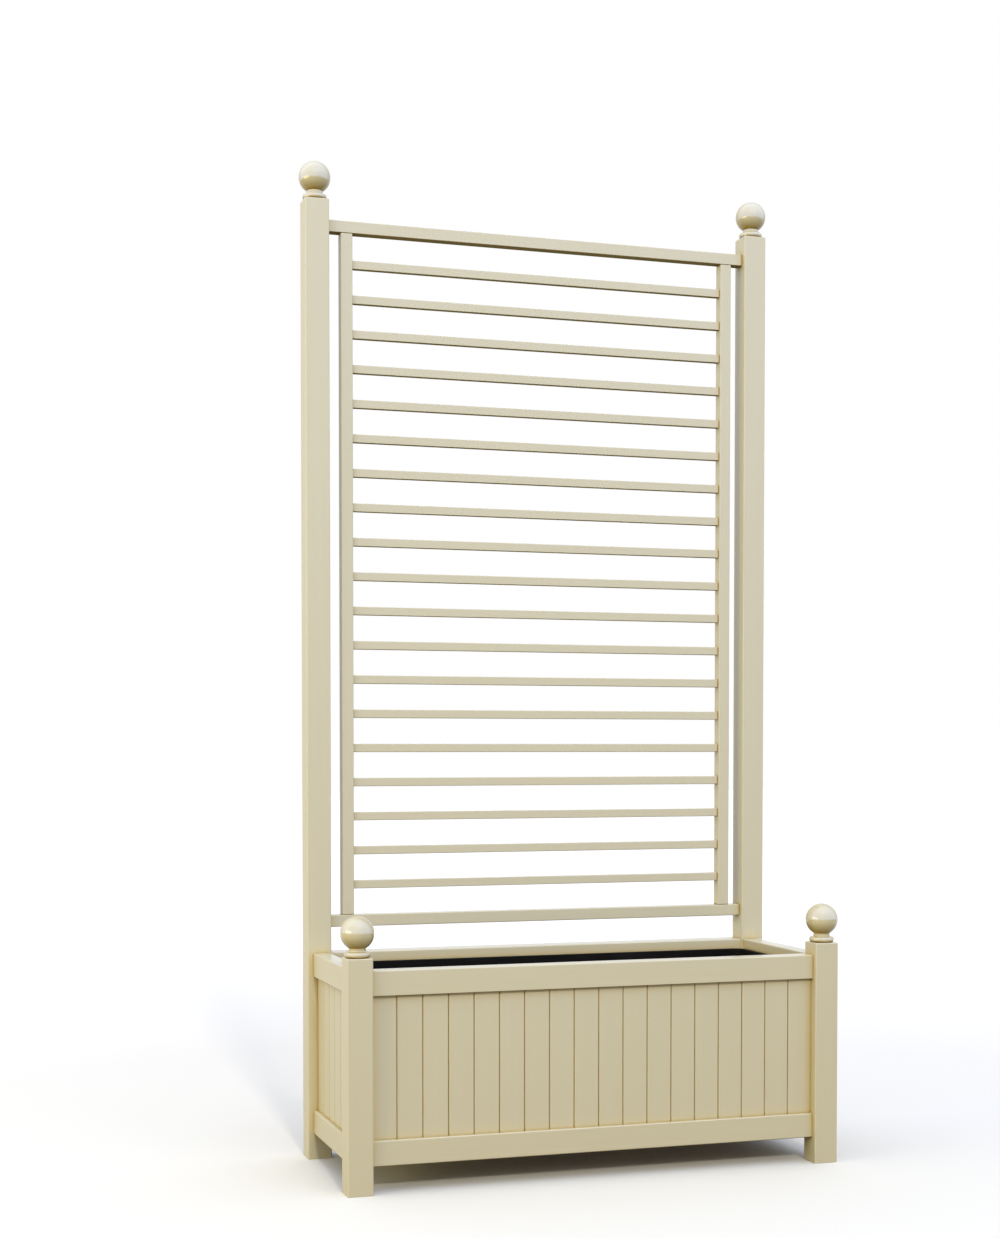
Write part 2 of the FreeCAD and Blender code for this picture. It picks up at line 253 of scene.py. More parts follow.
def pull(step: Point) -> None:
    """Extrudes what is selected by a step."""
    bpy.ops.mesh.extrude_region_move(TRANSFORM_OT_translate={"value": step})


def pull_outline(step: Point) -> None:
    """Clears a drawn sheet of needless edges and pulls it out to a closed piece.

    Args:
        step: length and direction of the pull.
    """
    bpy.ops.mesh.select_all(action="SELECT")
    bpy.ops.mesh.dissolve_limited(angle_limit=STRAIGHT_ANGLE)
    bpy.ops.mesh.select_all(action="SELECT")
    pull(step)
    face_outwards()


def round_off(what: Rounding, radius: float, segments: int) -> None:
    """Rounds what is selected."""
    bpy.ops.mesh.bevel(offset=radius, segments=segments, profile=0.5, affect=what.value,
                       clamp_overlap=True)


def face_outwards() -> None:
    """Merges doubled points of the piece in edit mode and turns its faces outwards."""
    bpy.ops.mesh.select_all(action="SELECT")
    bpy.ops.mesh.remove_doubles(threshold=NEAR / 2)
    bpy.ops.mesh.normals_make_consistent(inside=False)


def apply_modifier(piece: Piece, name: str, kind: str, **settings: object) -> None:
    """Adds a modifier with its settings and applies it.

    Args:
        piece: the piece.
        name: name of the modifier.
        kind: Blender's type of modifier.
        settings: its settings by name.
    """
    take_up(piece)
    modifier = piece.modifiers.new(name, kind)
    for setting, value in settings.items():
        setattr(modifier, setting, value)
    bpy.ops.object.modifier_apply(modifier=name)


def ease_edges(piece: Piece, width: float, segments: int = 2) -> None:
    """Rounds every sharp edge of a piece and shades its flats flat and its roundings round.

    Args:
        piece: the piece.
        width: width of the rounding.
        segments: faces across it.
    """
    take_up(piece)
    bpy.ops.object.shade_smooth()
    apply_modifier(piece, "eased", "BEVEL", width=width, segments=segments, limit_method="ANGLE",
                   angle_limit=SHARP_ANGLE, use_clamp_overlap=True, miter_outer="MITER_ARC")
    apply_modifier(piece, "flats", "WEIGHTED_NORMAL", weight=100, keep_sharp=True)


def repeat_along_x(piece: Piece, count: int, pitch: float) -> None:
    """Repeats a piece at a pitch, until there are as many in its mesh as the count says."""
    apply_modifier(piece, "row", "ARRAY", count=count, use_relative_offset=False,
                   use_constant_offset=True, constant_offset_displace=(pitch, 0.0, 0.0))


def copy_of(piece: Piece, name: str, step: Point) -> Piece:
    """Copies a piece with a mesh of its own and moves the copy.

    Args:
        piece: the piece that is copied.
        name: name of the copy.
        step: how far the copy is moved.

    Returns:
        The copy.
    """
    take_up(piece)
    bpy.ops.object.duplicate(linked=False)
    copy = bpy.context.active_object
    copy.location = step
    return settle(name)


def joined(name: str, pieces: list[Piece]) -> Piece:
    """Joins pieces into one object under a new name.

    Args:
        name: name of the whole.
        pieces: the pieces.

    Returns:
        The whole.
    """
    take_up(pieces[0])
    for piece in pieces:
        piece.select_set(True)
    bpy.ops.object.join()
    return settle(name)


def turned_about_z(piece: Piece, angle: float) -> Piece:
    """Turns a piece about the upright axis through the origin.

    Args:
        piece: the piece.
        angle: how far it is turned, in radians.

    Returns:
        The same piece.
    """
    take_up(piece)
    piece.rotation_euler = (0.0, 0.0, angle)
    return settle(piece.name)


def hand_over(piece: Piece, body: str, slot: str, finish: Material, *nodes: str) -> None:
    """Paints a finished piece and sets it in the place of its CAD nodes.

    Args:
        piece: the finished piece.
        body: CAD body that it rides on.
        slot: name of its material slot; not used.
        finish: its material.
        nodes: CAD nodes that it stands for.
    """
    piece.data.materials.clear()
    piece.data.materials.append(finish)
    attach(piece, body)
    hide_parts(*nodes)
    LOG.info("%s: %d faces", piece.name, len(piece.data.polygons))


# Finishes

@dataclass(frozen=True)
class Ripple:
    """Noise of a surface: waves per metre along and across the grain, octaves and their weight."""

    along: float
    across: float
    octaves: float
    weight: float = 0.5


class Palette:
    """Node tree of one material or world, with a short call for each kind of node used here."""

    ARRIS_MATCH: Pair = (0.80, 0.995)
    OFF_FLOOR_SHARES: Pair = (0.5, 1.5)

    def __init__(self, owner: Material | bpy.types.World) -> None:
        """Empties the owner's node tree.

        Args:
            owner: the material or world.
        """
        owner.use_nodes = True
        self.tree = owner.node_tree
        self.tree.nodes.clear()

    def add(self, kind: str, **values: object) -> bpy.types.Node:
        """Adds a node.

        Args:
            kind: type of the node, without its ShaderNode prefix.
            values: sockets by name, with underscores for spaces, or settings of the node.

        Returns:
            The node.
        """
        node = self.tree.nodes.new("ShaderNode" + kind)
        for name, value in values.items():
            socket = node.inputs.get(name.replace("_", " "))
            if socket is None:
                setattr(node, name, value)
            else:
                self.feed(socket, value)
        return node

    def feed(self, socket: Socket, value: object) -> None:
        """Links a socket to another node's output, or sets its value.

        Args:
            socket: the socket.
            value: an output, or a plain value.
        """
        if isinstance(value, Socket):
            self.tree.links.new(value, socket)
        else:
            socket.default_value = value

    def work_out(self, what: Sum, first: Socket, second: Socket) -> Socket:
        """Works a value out from two others.

        Args:
            what: what is worked out.
            first: first value.
            second: second value.

        Returns:
            The result.
        """
        node = self.add("Math", operation=what.value)
        self.feed(node.inputs[0], first)
        self.feed(node.inputs[1], second)
        return node.outputs["Value"]

    def match(self, first: Socket, second: Socket | Point) -> Socket:
        """How nearly two directions are the same.

        Args:
            first: first direction.
            second: second direction.

        Returns:
            1 where they are the same, 0 where they are square to each other.
        """
        node = self.add("VectorMath", operation="DOT_PRODUCT")
        self.feed(node.inputs[0], first)
        self.feed(node.inputs[1], second)
        return node.outputs["Value"]

    def noise(self, ripple: Ripple, grain: Grain) -> Socket:
        """Noise on the piece's own coordinates.

        Args:
            ripple: its waves.
            grain: the way that they run.

        Returns:
            The noise, about 0.5.
        """
        place = self.add("TexCoord").outputs["Object"]
        stretch = grain.stretch(ripple.along, ripple.across)
        mapped = self.add("Mapping", Vector=place, Scale=stretch).outputs["Vector"]
        texture = self.add("TexNoise", Vector=mapped, Scale=1.0, Detail=ripple.octaves,
                           Roughness=ripple.weight)
        return texture.outputs["Fac"]

    def span(self, value: Socket, limits: Pair, reached: Pair = (0.0, 1.0)) -> Socket:
        """Carries a value from its limits to what is reached there, and clamps it."""
        node = self.add("MapRange", Value=value, From_Min=limits[0], From_Max=limits[1],
                        To_Min=reached[0], To_Max=reached[1])
        return node.outputs["Result"]

    def blend(self, share: Socket, first: Colour | Socket, second: Colour | Socket,
              laying: Laying = Laying.COVER) -> Socket:
        """Mixes two colours by a share.

        Args:
            share: share of the second colour.
            first: colour where the share is 0.
            second: colour where the share is 1.
            laying: how the second is laid over the first.

        Returns:
            The mixed colour.
        """
        node = self.add("Mix", data_type="RGBA", blend_type=laying.value)
        sockets = [socket for socket in node.inputs if socket.type == "RGBA"]
        for socket, colour in zip(sockets, (first, second)):
            self.feed(socket, colour if isinstance(colour, Socket) else (*colour, 1.0))
        self.feed(node.inputs[0], share)
        return next(socket for socket in node.outputs if socket.type == "RGBA")

    def bump(self, height: Socket, relief: Pair, under: Socket | None = None) -> Socket:
        """Relief from a height, laid over an earlier relief where there is one.

        Args:
            height: height of the surface, from 0 to 1.
            relief: depth in metres, and strength.
            under: the earlier relief.

        Returns:
            The normal.
        """
        node = self.add("Bump", Height=height, Distance=relief[0], Strength=relief[1])
        if under is not None:
            self.feed(node.inputs["Normal"], under)
        return node.outputs["Normal"]

    def corner(self, reach: float, limits: Pair) -> Socket:
        """Share that grows into a corner or joint, but not where the piece stands on the floor.

        Args:
            reach: distance over which the surroundings count.
            limits: open part of the surroundings where the share is 1, and where it is 0.

        Returns:
            The share.
        """
        clearance = self.add("AmbientOcclusion", samples=6, Distance=reach).outputs["AO"]
        place = self.add("TexCoord").outputs["Object"]
        height = self.add("SeparateXYZ", Vector=place).outputs["Z"]
        off_floor = tuple(reach * share for share in self.OFF_FLOOR_SHARES)
        return self.work_out(Sum.PRODUCT, self.span(clearance, limits, (1.0, 0.0)),
                             self.span(height, off_floor))

    def facing(self, limits: Pair) -> Socket:
        """Share that follows how far the surface faces up.

        Args:
            limits: upward part of the normal, from -1 to 1, where the share is 0 and where it is 1.

        Returns:
            The share.
        """
        normal = self.add("NewGeometry").outputs["Normal"]
        local = self.add("VectorTransform", convert_from="WORLD", convert_to="OBJECT",
                         vector_type="NORMAL", Vector=normal).outputs["Vector"]
        return self.span(self.add("SeparateXYZ", Vector=local).outputs["Z"], limits)

    def arris(self, radius: float) -> Socket:
        """Share that is 1 on an edge and 0 on the flats.

        Args:
            radius: how far from the edge the share reaches.

        Returns:
            The share.
        """
        rounded = self.add("Bevel", samples=4, Radius=radius).outputs["Normal"]
        true = self.add("NewGeometry").outputs["True Normal"]
        return self.span(self.match(rounded, true), self.ARRIS_MATCH, (1.0, 0.0))

    def surface(self, shader: Socket) -> None:
        """Sends a shader to the output."""
        self.add("OutputMaterial", Surface=shader)


@dataclass(frozen=True)
class CreamPaint:
    """Cream gloss paint, brushed in long strokes over planed timber.

    It has pooled in clouds, lies thin on the ridges of the timber and is glossiest on faces that
    look up.
    Its colour also holds painted light: a painted highlight along the arrises, and painted shade in
    corners, joints and on undersides.
    """

    grain: Grain
    colour: Colour = (0.568, 0.516, 0.350)
    strokes: Ripple = Ripple(5.0, 420.0, 4.0, 0.6)
    stroke_limits: Pair = (0.30, 0.70)
    stroke_relief: Pair = (0.00002, 0.30)
    roughness: Pair = (0.34, 0.44)
    pools: Ripple = Ripple(3.1, 2.3, 2.0)
    pool_limits: Pair = (0.35, 0.65)
    pool_share: float = 0.6
    deep_colour: Colour = (0.556, 0.502, 0.336)
    timber: Ripple = Ripple(2.5, 90.0, 5.0, 0.55)
    timber_limits: Pair = (0.40, 0.75)
    timber_share: float = 0.06
    timber_relief: Pair = (0.00003, 0.25)
    # Painted highlight: every edge is lightened towards the thin colour, as light catching the
    # arrises would; the same colour also marks the timber's ridges.
    arris_radius: float = 0.0024
    arris_highlight_share: float = 0.55
    thin_paint_and_highlight_colour: Colour = (0.700, 0.665, 0.500)
    # Painted shade: corners are darkened and warmed by the corner tint where the surroundings close
    # in, as shade would fall there.
    corner_reach: float = 0.022
    corner_limits: Pair = (0.45, 0.95)
    corner_shade_tint: Colour = (0.95, 0.83, 0.56)
    # Painted shade: joints and the narrow gaps under rails are darkened by the joint tint.
    joint_reach: float = 0.007
    joint_limits: Pair = (0.15, 0.80)
    joint_shade_tint: Colour = (0.56, 0.43, 0.19)
    # Painted shade: faces that look down are darkened towards the under colour.
    under_faces: Pair = (-0.15, -0.85)
    under_shade_colour: Colour = (0.160, 0.108, 0.008)
    under_roughness: float = 0.90
    ior: float = 1.5
    specular: float = 0.30
    coat: float = 0.60
    coat_faces: Pair = (0.45, 0.95)
    coat_ior: float = 1.5
    coat_roughness: float = 0.12

    def material(self) -> Material:
        """Builds the paint for one run of the grain.

        Returns:
            The material.
        """
        paint = bpy.data.materials.new("cream_paint_" + self.grain.name.lower())
        nodes = Palette(paint)
        strokes = nodes.noise(self.strokes, self.grain)
        timber = nodes.noise(self.timber, self.grain)
        under = nodes.facing(self.under_faces)
        relief = nodes.bump(strokes, self.stroke_relief, nodes.bump(timber, self.timber_relief))
        brushed = nodes.span(strokes, self.stroke_limits, self.roughness)
        dull = nodes.span(under, (0.0, 1.0), (0.0, self.under_roughness))
        coat = nodes.span(nodes.facing(self.coat_faces), (0.0, 1.0), (0.0, self.coat))
        shader = nodes.add("BsdfPrincipled", Base_Color=self.tone(nodes, timber, under),
                           Roughness=nodes.work_out(Sum.LARGER, brushed, dull), IOR=self.ior,
                           Normal=relief, Specular_IOR_Level=self.specular, Coat_Weight=coat,
                           Coat_IOR=self.coat_ior, Coat_Roughness=self.coat_roughness)
        nodes.surface(shader.outputs["BSDF"])
        return paint

    def tone(self, nodes: Palette, timber: Socket, under: Socket) -> Socket:
        """Colour of the paint, with a painted highlight on its edges and painted shade in corners
        and undersides.

        Args:
            nodes: node tree of the paint.
            timber: ridges of the timber below it.
            under: share that is 1 on undersides.

        Returns:
            The colour.
        """
        pooling = nodes.span(nodes.noise(self.pools, Grain.TURNED), self.pool_limits,
                             (0.0, self.pool_share))
        ridges = nodes.span(timber, self.timber_limits, (0.0, self.timber_share))
        edge_highlight = nodes.span(nodes.arris(self.arris_radius), (0.0, 1.0), (0.0, self.arris_highlight_share))
        corner = nodes.corner(self.corner_reach, self.corner_limits)
        joint = nodes.corner(self.joint_reach, self.joint_limits)
        pooled = nodes.blend(pooling, self.colour, self.deep_colour)
        brushed = nodes.blend(ridges, pooled, self.thin_paint_and_highlight_colour)
        # Painted highlight along every edge.
        highlighted = nodes.blend(edge_highlight, brushed, self.thin_paint_and_highlight_colour)
        # Painted shade on the undersides.
        lower = nodes.blend(under, highlighted, self.under_shade_colour)
        # Painted shade in corners and joints, from how closed in the surroundings are.
        corner_shaded = nodes.blend(corner, lower, self.corner_shade_tint, Laying.TINT)
        return nodes.blend(joint, corner_shaded, self.joint_shade_tint, Laying.TINT)


@dataclass(frozen=True)
class TurnedPaint(CreamPaint):
    """The same paint on the turned finials: a fuller and smoother coat, glossy all round."""

    grain: Grain = Grain.TURNED
    colour: Colour = (0.525, 0.466, 0.270)
    roughness: Pair = (0.04, 0.06)
    deep_colour: Colour = (0.515, 0.454, 0.258)
    # Painted shade on the lower half of each finial.
    under_shade_colour: Colour = (0.290, 0.200, 0.008)
    under_roughness: float = 0.06
    coat: float = 0.50
    coat_faces: Pair = (-0.99, -0.98)
    coat_roughness: float = 0.03


@dataclass(frozen=True)
class PlanedPine:
    """Bare planed softwood of the hidden floor."""

    grain: Grain
    early_wood: Colour = (0.560, 0.390, 0.210)
    late_wood: Colour = (0.360, 0.205, 0.085)
    rings: Ripple = Ripple(1.6, 75.0, 3.0)
    ring_limits: Pair = (0.46, 0.60)
    ring_relief: Pair = (0.00015, 0.4)
    clouds: Ripple = Ripple(4.0, 4.0, 2.0)
    cloud_limits: Pair = (0.3, 0.7)
    cloud_share: float = 0.4
    pores: Ripple = Ripple(14.0, 900.0, 2.0, 0.6)
    pore_limits: Pair = (0.3, 0.7)
    pore_relief: Pair = (0.00008, 0.5)
    roughness: Pair = (0.55, 0.72)
    ior: float = 1.45

    def material(self) -> Material:
        """Builds the timber for one run of the grain.

        Returns:
            The material.
        """
        pine = bpy.data.materials.new("planed_pine_" + self.grain.name.lower())
        nodes = Palette(pine)
        rings = nodes.noise(self.rings, self.grain)
        pores = nodes.noise(self.pores, self.grain)
        clouds = nodes.noise(self.clouds, self.grain)
        figured = nodes.blend(nodes.span(rings, self.ring_limits), self.early_wood, self.late_wood)
        toned = nodes.blend(nodes.span(clouds, self.cloud_limits, (0.0, self.cloud_share)),
                            figured, self.late_wood)
        relief = nodes.bump(pores, self.pore_relief, nodes.bump(rings, self.ring_relief))
        gloss = nodes.span(pores, self.pore_limits, self.roughness)
        shader = nodes.add("BsdfPrincipled", Base_Color=toned, Roughness=gloss, IOR=self.ior,
                           Normal=relief)
        nodes.surface(shader.outputs["BSDF"])
        return pine


@dataclass(frozen=True)
class MouldedPlastic:
    """Black plastic of the liner, with the fine grain of its mould, dust and rubbed edges."""

    colour: Colour = (0.0070, 0.0065, 0.0055)
    scuffed: Colour = (0.032, 0.030, 0.027)
    scuffs: Ripple = Ripple(9.0, 26.0, 6.0, 0.7)
    dust_limits: Pair = (0.52, 0.75)
    dust_share: float = 0.20
    edge_radius: float = 0.003
    edge_share: float = 0.6
    leather: Ripple = Ripple(700.0, 700.0, 2.0)
    leather_relief: Pair = (0.00006, 0.5)
    gloss_limits: Pair = (0.3, 0.7)
    roughness: Pair = (0.42, 0.58)
    ior: float = 1.5
    specular: float = 0.02

    def material(self) -> Material:
        """Builds the plastic.

        Returns:
            The material.
        """
        plastic = bpy.data.materials.new("moulded_plastic")
        nodes = Palette(plastic)
        scuffs = nodes.noise(self.scuffs, Grain.TURNED)
        dust = nodes.span(scuffs, self.dust_limits, (0.0, self.dust_share))
        edges = nodes.span(nodes.arris(self.edge_radius), (0.0, 1.0), (0.0, self.edge_share))
        rubbed = nodes.blend(edges, nodes.blend(dust, self.colour, self.scuffed), self.scuffed)
        relief = nodes.bump(nodes.noise(self.leather, Grain.TURNED), self.leather_relief)
        gloss = nodes.span(scuffs, self.gloss_limits, self.roughness)
        shader = nodes.add("BsdfPrincipled", Base_Color=rubbed, Roughness=gloss, IOR=self.ior,
                           Normal=relief, Specular_IOR_Level=self.specular)
        nodes.surface(shader.outputs["BSDF"])
        return plastic


class Finishes:
    """Materials that the pieces share."""

    def __init__(self) -> None:
        """Builds each material once."""
        level = (Grain.ALONG_X, Grain.ALONG_Y)
        self.paint = {grain: CreamPaint(grain).material() for grain in (*level, Grain.ALONG_Z)}
        self.turned_paint = TurnedPaint().material()
        self.pine = {grain: PlanedPine(grain).material() for grain in level}
        self.plastic = MouldedPlastic().material()


# Sub-assemblies

@dataclass
class CornerPosts:
    """The four square posts."""

    names: tuple[str, ...] = ("front_left_post", "front_right_post",
                              "rear_left_post", "rear_right_post")
    arris: float = 0.0025
    arris_segments: int = 5
    foot_ease: float = 0.000625

    def build(self, finishes: Finishes) -> None:
        """Models and paints each post.

        Args:
            finishes: the shared materials.
        """
        for name in self.names:
            low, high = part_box(name)
            post = add_block(name + "_painted", low, high)
            with editing(post):
                pick(post, Element.EDGE,
                     lambda edge: max(v.co.z for v in edge.verts) > low[2] + NEAR)
                round_off(Rounding.EDGES, self.arris, self.arris_segments)
            ease_edges(post, self.foot_ease)
            hand_over(post, PLANTER_BODY, PAINT_SLOT, finishes.paint[Grain.ALONG_Z], name)


@dataclass
class BallFinials:
    """Turned ball finials, each on the middle of its post."""

    corners: tuple[str, ...] = ("front_left", "front_right", "rear_left", "rear_right")
    neck_radius: float = 0.0162
    cove_radius: float = 0.0028
    collar_radius: float = 0.0244
    collar_foot_radius: float = 0.0205
    collar_height: float = 0.0110
    arc_points: int = 96
    curve_points: int = 10
    spin_steps: int = 80
    crease_deg: float = 50.0

    def profile(self, ball_radius: float, ball_height: float) -> list[Pair]:
        """Outline from the ball's underside down to the axis.

        Args:
            ball_radius: radius of the ball.
            ball_height: height of its centre over the post.

        Returns:
            Radius and height of each point.
        """
        steps = range(self.curve_points + 1)
        neck_head = ball_height - math.sqrt(ball_radius ** 2 - self.neck_radius ** 2)
        points = [(self.neck_radius, neck_head)]
        cove_centre = (self.neck_radius + self.cove_radius, self.collar_height + self.cove_radius)
        for step in steps:
            angle = QUARTER * step / self.curve_points
            points.append((cove_centre[0] - self.cove_radius * math.cos(angle),
                           cove_centre[1] - self.cove_radius * math.sin(angle)))
        bead = self.collar_radius - self.collar_foot_radius
        for step in steps:
            angle = QUARTER - 2 * QUARTER * step / self.curve_points
            points.append((self.collar_foot_radius + bead * math.cos(angle),
                           self.collar_height / 2 * (1 + math.sin(angle))))
        points.append((0.0, 0.0))
        return points

    def turn(self, name: str, centre: Point, ball_radius: float, ball_height: float) -> Piece:
        """Draws the outline of one finial and spins it.

        Args:
            name: name of the piece.
            centre: middle of the post's top.
            ball_radius: radius of the ball.
            ball_height: height of its centre over the post.

        Returns:
            The finial.
        """
        outline = self.profile(ball_radius, ball_height)
        x, y, z = centre
        bpy.ops.mesh.primitive_circle_add(vertices=self.arc_points, radius=ball_radius,
                                          location=(x, y, z + ball_height),
                                          rotation=(QUARTER, 0.0, 0.0))
        finial = settle(name)
        neck_head = z + outline[0][1] + NEAR
        with editing(finial):
            pick(finial, Element.VERTEX, lambda v: v.co.x < x - NEAR or v.co.z < neck_head)
            bpy.ops.mesh.delete(type="VERT")
            lowest = min(vertex.co.z for vertex in bmesh.from_edit_mesh(finial.data).verts)
            pick(finial, Element.VERTEX, lambda v: v.co.z < lowest + NEAR)
            arc = bmesh.from_edit_mesh(finial.data).verts
            tip = next(vertex.co.copy() for vertex in arc if vertex.select)
            for radius, height in outline:
                target = Vector((x + radius, y, z + height))
                bpy.ops.mesh.extrude_vertices_move(TRANSFORM_OT_translate={"value": target - tip})
                tip = target
            bpy.ops.mesh.select_all(action="SELECT")
            bpy.ops.mesh.spin(steps=self.spin_steps, angle=4 * QUARTER, center=centre,
                              axis=(0.0, 0.0, 1.0))
            face_outwards()
        return finial

    def build(self, finishes: Finishes) -> None:
        """Models one finial, copies it to the other posts and paints them all.

        Args:
            finishes: the shared materials.
        """
        _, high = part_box("ball_finials")
        tops = {}
        for corner in self.corners:
            post_low, post_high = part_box(corner + "_post")
            tops[corner] = Vector(((post_low[0] + post_high[0]) / 2,
                                   (post_low[1] + post_high[1]) / 2, post_high[2]))
        ball_radius = high[0] - tops["front_right"].x
        ball_height = high[2] - tops["rear_left"].z - ball_radius
        start = tops[self.corners[0]]
        first = self.turn(self.corners[0] + "_ball_finial", start, ball_radius, ball_height)
        take_up(first)
        bpy.ops.object.shade_smooth_by_angle(angle=math.radians(self.crease_deg))
        finials = [first]
        for corner in self.corners[1:]:
            finials.append(copy_of(first, corner + "_ball_finial", tops[corner] - start))
        for finial in finials:
            hand_over(finial, PLANTER_BODY, PAINT_SLOT, finishes.turned_paint, "ball_finials")


@dataclass
class BoxSide:
    """One framed and boarded side of the box, drawn facing -Y and turned to its place."""

    name: str
    turn: float
    grain: Grain
    arris: float = 0.0022
    arris_segments: int = 4
    rail_ease: float = 0.00044
    board_pitch: float = 0.050
    board_thickness: float = 0.016
    vee: float = 0.0018
    board_ease: float = 0.00036
    joint_gap: float = 0.0005
    tongue_length: float = 0.005
    tongue_thickness: float = 0.005
    tongue_end_gap: float = 0.0005

    def drawn_box(self, part: str) -> tuple[Vector, Vector]:
        """Box of one of this side's CAD nodes, turned back to where it is drawn.

        Args:
            part: name of the node on this side.

        Returns:
            Its lowest and highest corner.
        """
        corners = [Vector(corner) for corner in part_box(self.name + "_" + part)]
        cos, sin = round(math.cos(-self.turn)), round(math.sin(-self.turn))
        turned = [Vector((cos * p.x - sin * p.y, sin * p.x + cos * p.y, p.z)) for p in corners]
        return Vector(map(min, *turned)), Vector(map(max, *turned))

    def half_span(self) -> float:
        """Half the clear length between the posts at the ends of this side."""
        low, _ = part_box("rear_right_post")
        return low[0] if self.grain is Grain.ALONG_X else low[1]

    def rail(self, part: str, near: float, groove: Pair) -> Piece:
        """Rail with round outer arrises and the groove that takes the boards.

        Args:
            part: name of the rail on this side.
            near: where the boards' faces lie.
            groove: height where the boards, and with them the groove, start and end.

        Returns:
            The rail.
        """
        low, high = self.drawn_box(part)
        half_span = self.half_span()
        far = near + self.board_thickness
        rail = add_end_sheet(self.name + "_" + part + "_painted", (-half_span, low.y, low.z),
                             (half_span, high.y, high.z))
        with editing(rail):
            for y in (near, far):
                slice_at((0.0, y, 0.0), (0.0, 1.0, 0.0))
            for z in groove:
                if low.z + NEAR < z < high.z - NEAR:
                    slice_at((0.0, 0.0, z), (0.0, 0.0, 1.0))
            pick(rail, Element.FACE, lambda face: near < face.calc_center_median().y < far
                 and groove[0] < face.calc_center_median().z < groove[1])
            bpy.ops.mesh.delete(type="FACE")
            pick(rail, Element.VERTEX, lambda v: min(v.co.y - low.y, high.y - v.co.y) < NEAR
                 and min(v.co.z - low.z, high.z - v.co.z) < NEAR)
            round_off(Rounding.CORNERS, self.arris, self.arris_segments)
            pull_outline((2 * half_span, 0.0, 0.0))
        ease_edges(rail, self.rail_ease)
        return rail

    def board(self, name: str, ends: Pair, near: float, heights: Pair,
              joins: tuple[bool, bool]) -> Piece:
        """One tongue-and-groove board, with its outline drawn in plan and pulled up.

        Args:
            name: name of the board.
            ends: left and right edge of its face.
            near: where its face lies.
            heights: its foot and its head.
            joins: whether another board joins it at the left, and at the right.

        Returns:
            The board.
        """
        start, end = ends
        foot, head = heights
        far = near + self.board_thickness
        shoulder = (self.board_thickness - self.tongue_thickness) / 2
        tongue = (near + shoulder, far - shoulder)
        groove_end = start + self.tongue_length + self.tongue_end_gap
        board = add_plan_sheet(name, (start, near, foot), (end, far, head))
        with editing(board):
            for y in tongue:
                slice_at((0.0, y, 0.0), (0.0, 1.0, 0.0))
            if joins[0]:
                slice_at((groove_end, 0.0, 0.0), (1.0, 0.0, 0.0))
                pick(board, Element.FACE, lambda face: face.calc_center_median().x < groove_end
                     and tongue[0] < face.calc_center_median().y < tongue[1])
                bpy.ops.mesh.delete(type="FACE")
            if joins[1]:
                pick(board, Element.EDGE, lambda edge: all(v.co.x > end - NEAR for v in edge.verts)
                     and tongue[0] < sum(v.co.y for v in edge.verts) / 2 < tongue[1])
                pull((self.tongue_length, 0.0, 0.0))
            pick(board, Element.VERTEX, lambda v: v.co.y < near + NEAR
                 and ((joins[0] and v.co.x < start + NEAR) or (joins[1] and v.co.x > end - NEAR)))
            round_off(Rounding.CORNERS, self.vee, 1)
            pull_outline((0.0, 0.0, head - foot))
        return board

    def boards(self, near: float, heights: Pair) -> Piece:
        """The row of boards between two posts.

        Args:
            near: where the boards' faces lie.
            heights: their feet and their heads.

        Returns:
            The row, as one piece.
        """
        start = -self.half_span()
        count = round(-2 * start / self.board_pitch)
        pitch = -2 * start / count
        gap = self.joint_gap / 2
        first = self.board("first_board", (start, start + pitch - gap), near, heights,
                           (False, True))
        inner = self.board("inner_boards", (start + pitch + gap, start + 2 * pitch - gap), near,
                           heights, (True, True))
        last = self.board("last_board", (-start - pitch + gap, -start), near, heights,
                          (True, False))
        repeat_along_x(inner, count - 2, pitch)
        row = joined(self.name + "_boards_painted", [first, inner, last])
        ease_edges(row, self.board_ease)
        return row

    def build(self, finishes: Finishes) -> None:
        """Models, turns and paints the two rails and the boards.

        Args:
            finishes: the shared materials.
        """
        low, high = self.drawn_box("boards")
        heights = (low.z, high.z)
        made = [(self.rail(part, low.y, heights), part, self.grain)
                for part in ("bottom_rail", "top_rail")]
        made.append((self.boards(low.y, heights), "boards", Grain.ALONG_Z))
        for piece, part, grain in made:
            hand_over(turned_about_z(piece, self.turn), PLANTER_BODY, PAINT_SLOT,
                      finishes.paint[grain], self.name + "_" + part)


@dataclass
class LinerFloor:
    """Bearers and cross slats that carry the liner."""

    arris: float = 0.0012
    slat_count: int = 11
    slat_width: float = 0.070

    def build(self, finishes: Finishes) -> None:
        """Models the two bearers and the row of slats.

        Args:
            finishes: the shared materials.
        """
        for name in ("front_bearer", "rear_bearer"):
            bearer = add_block(name + "_planed", *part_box(name))
            ease_edges(bearer, self.arris)
            hand_over(bearer, PLANTER_BODY, FLOOR_SLOT, finishes.pine[Grain.ALONG_X], name)
        low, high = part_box("floor_slats")
        pitch = (high[0] - low[0] - self.slat_width) / (self.slat_count - 1)
        slats = add_block("floor_slats_planed", low, (low[0] + self.slat_width, high[1], high[2]))
        ease_edges(slats, self.arris)
        repeat_along_x(slats, self.slat_count, pitch)
        hand_over(slats, PLANTER_BODY, FLOOR_SLOT, finishes.pine[Grain.ALONG_Y], "floor_slats")


